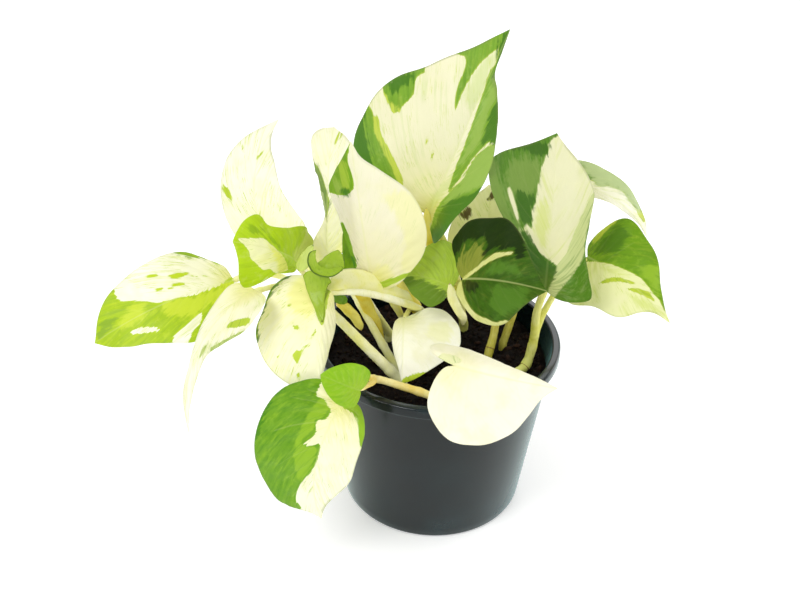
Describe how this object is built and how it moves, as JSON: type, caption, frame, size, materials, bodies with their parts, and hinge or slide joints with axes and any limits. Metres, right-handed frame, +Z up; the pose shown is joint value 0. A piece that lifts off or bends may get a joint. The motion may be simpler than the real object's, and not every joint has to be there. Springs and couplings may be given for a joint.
{
  "type": "potted happy leaf pothos",
  "caption": "Variegated pothos houseplant with heart-shaped cream and green leaves on arching stalks, growing in soil in a round black nursery pot.",
  "frame": {"origin": "centre of the pot's flat bottom, on the surface that the pot stands on", "axes": "+Z up along the pot's axis; -Y towards the plant's front, the side that its leaves face; +X to the right for someone who looks at the front"},
  "size_m": [0.2672, 0.1463, 0.2252],
  "materials": {
    "nursery_plastic": "satin black polypropylene with fine scuffs",
    "potting_soil": null,
    "stem": null,
    "leaf_cream_blade": null,
    "leaf_green_blade": null
  },
  "bodies": {
    "root": {"pot": "nursery_plastic", "soil": "potting_soil", "vine_over_rim": "stem", "vine_left": "stem", "vine_upper_left": "stem", "stem_cream": "stem", "vine_centre": "stem", "vine_back": "stem", "stem_behind": "stem", "stem_arching": "stem", "vine_right": "stem", "stem_front_right": "stem", "leaf_tall": "leaf_cream_blade", "leaf_cream": "leaf_cream_blade", "leaf_behind_left": "leaf_cream_blade", "leaf_upper_left": "leaf_cream_blade", "leaf_folded_left": "leaf_green_blade", "leaf_hanging_left": "leaf_cream_blade", "leaf_far_left": "leaf_cream_blade", "leaf_drooping_left": "leaf_cream_blade", "leaf_over_rim": "leaf_cream_blade", "leaf_small": "leaf_green_blade", "leaf_front_right": "leaf_cream_blade", "leaf_centre_front": "leaf_cream_blade", "leaf_dark_right": "leaf_green_blade", "leaf_big_right": "leaf_cream_blade", "leaf_arching_right": "leaf_cream_blade", "leaf_far_right": "leaf_cream_blade", "leaf_behind_centre": "leaf_cream_blade", "leaf_green_centre": "leaf_green_blade"}
  },
  "joints": []
}
